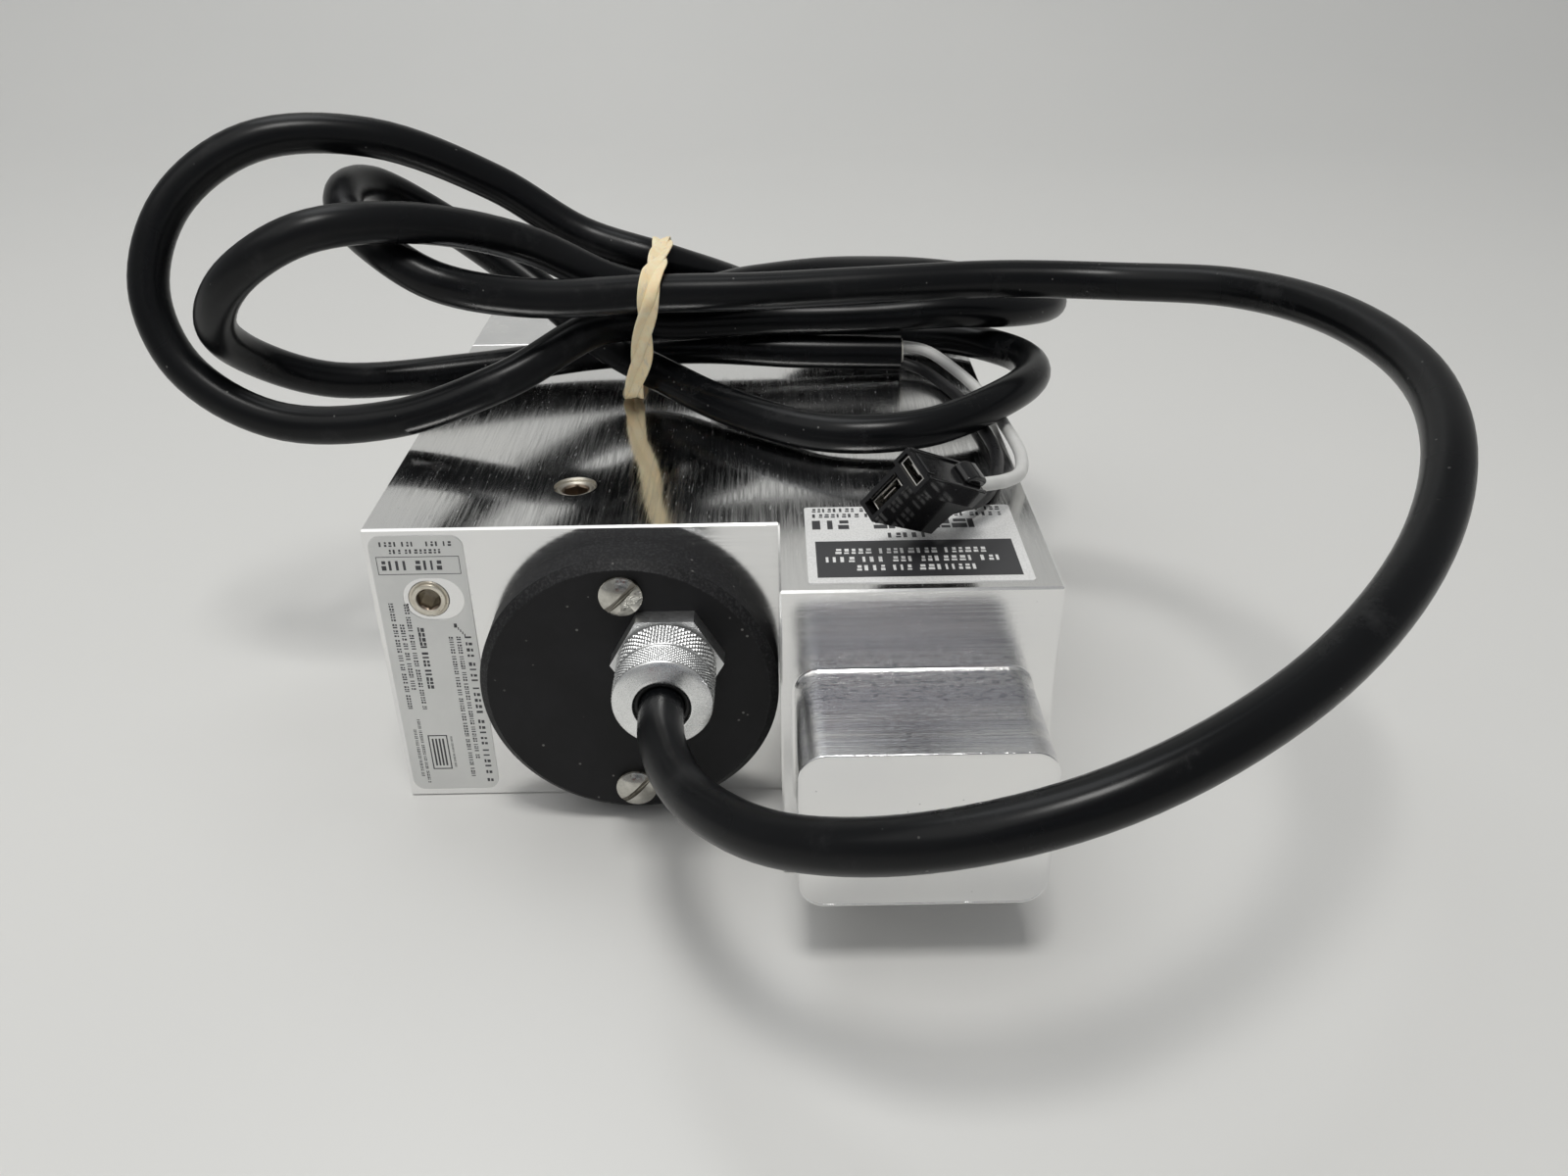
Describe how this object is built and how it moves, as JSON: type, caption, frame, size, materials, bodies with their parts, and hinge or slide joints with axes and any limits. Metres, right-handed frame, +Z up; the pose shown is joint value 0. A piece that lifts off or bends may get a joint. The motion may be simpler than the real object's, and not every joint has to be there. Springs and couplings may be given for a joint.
{
  "type": "electro-hydraulic linear actuator",
  "caption": "Polished aluminium billet actuator with motor, gear pump and hydraulic ram side by side, black motor cap and coiled supply cable.",
  "frame": {"origin": "centre of the bounding box's base, without the cable and what is on it", "axes": "+Y along the ram's travel, out of the rear face; +Z up, the shortest side of the body; +X across, from the motor side to the ram side"},
  "size_m": [0.3008, 0.3091, 0.1517],
  "materials": {
    "billet": "polished, with fine swirl scratches",
    "block": "polished",
    "cap_black": "matte black anodised",
    "grip_alu": "turned and knurled",
    "screw_steel": "turned zinc-plated steel",
    "dark_steel": "black oxide",
    "plug_metal": "dull yellow metal",
    "rubber_black": "matte",
    "label_silver": "silver foil label",
    "label_white": "printed paper-white label",
    "motor_steel": "drawn steel",
    "magnet": "sintered",
    "board": "phenolic board",
    "carbon": "pressed carbon",
    "bronze": "sintered bronze",
    "copper": "copper",
    "lamination": "stacked laminations",
    "gear_steel": "ground steel",
    "spring_steel": "bright wire",
    "hard_chrome": "ground hard chrome",
    "cable_jacket": "satin black jacket",
    "wire_white": "glossy insulation",
    "wire_black": "glossy insulation",
    "connector": "moulded nylon",
    "terminal": "tinned brass",
    "band": "tan, slightly translucent rubber"
  },
  "bodies": {
    "housing": {"main_housing": "billet", "rear_block": "block", "rear_block_screws": "dark_steel", "rear_block_seals": "rubber_black", "motor_end_cap": "cap_black", "end_cap_screws": "screw_steel", "end_cap_o_ring": "rubber_black", "cord_grip_body": "grip_alu", "cord_grip_nut": "grip_alu", "cord_grip_grommet": "rubber_black", "filler_plug": "plug_metal", "vent_plug": "plug_metal", "front_label": "label_silver", "top_label": "label_white", "motor_case": "motor_steel", "motor_magnets": "magnet", "brush_plate": "board", "carbon_brushes": "carbon", "brush_springs": "spring_steel", "front_bearing": "bronze", "rear_bearing": "bronze", "motor_rear_plate": "block", "shaft_seal": "rubber_black", "pump_body": "block", "pump_cover": "block", "relief_spring_extend": "spring_steel", "relief_plug_extend": "dark_steel", "relief_spring_retract": "spring_steel", "relief_plug_retract": "dark_steel", "shuttle_plug": "dark_steel", "rod_gland": "bronze", "rod_seal": "rubber_black", "rod_wiper": "rubber_black", "power_cable": "cable_jacket", "white_wire": "wire_white", "black_wire": "wire_black", "connector_housing": "connector", "connector_terminals": "terminal", "rubber_band": "band"},
    "ram": {"ram_rod": "hard_chrome", "ram_piston": "gear_steel", "piston_seal": "rubber_black", "piston_nut": "dark_steel", "ram_eye": "billet"},
    "armature": {"motor_shaft": "gear_steel", "armature_core": "lamination", "armature_windings": "copper", "commutator": "copper", "pump_drive_gear": "gear_steel"},
    "idler": {"pump_idler_gear": "gear_steel"},
    "spool": {"shuttle_spool": "gear_steel"},
    "poppet_extend": {"relief_poppet_extend": "gear_steel"},
    "poppet_retract": {"relief_poppet_retract": "gear_steel"}
  },
  "joints": [
    {"name": "ram_slide", "type": "slide", "parent": "housing", "child": "ram", "axis": [0, 1, 0], "range_m": [0, 0.1016]},
    {"name": "armature_spin", "type": "hinge", "parent": "housing", "child": "armature", "pos_m": [-0.0174, -0.02125, 0.0381], "axis": [0, 1, 0], "continuous": true},
    {"name": "idler_spin", "type": "hinge", "parent": "housing", "child": "idler", "pos_m": [-0.0174, 0.03775, 0.0201], "axis": [0, 1, 0], "continuous": true},
    {"name": "spool_shift", "type": "slide", "parent": "housing", "child": "spool", "axis": [1, 0, 0], "range_m": [-0.002, 0.002]},
    {"name": "relief_lift_extend", "type": "slide", "parent": "housing", "child": "poppet_extend", "axis": [0, 1, 0], "range_m": [0, 0.0015], "stiffness_N_per_m": 1500, "deforming": ["relief_spring_extend"]},
    {"name": "relief_lift_retract", "type": "slide", "parent": "housing", "child": "poppet_retract", "axis": [0, 1, 0], "range_m": [0, 0.0015], "stiffness_N_per_m": 1500, "deforming": ["relief_spring_retract"]}
  ],
  "couplings": [
    {"joint": "idler_spin", "follows": "armature_spin", "ratio": -1}
  ]
}
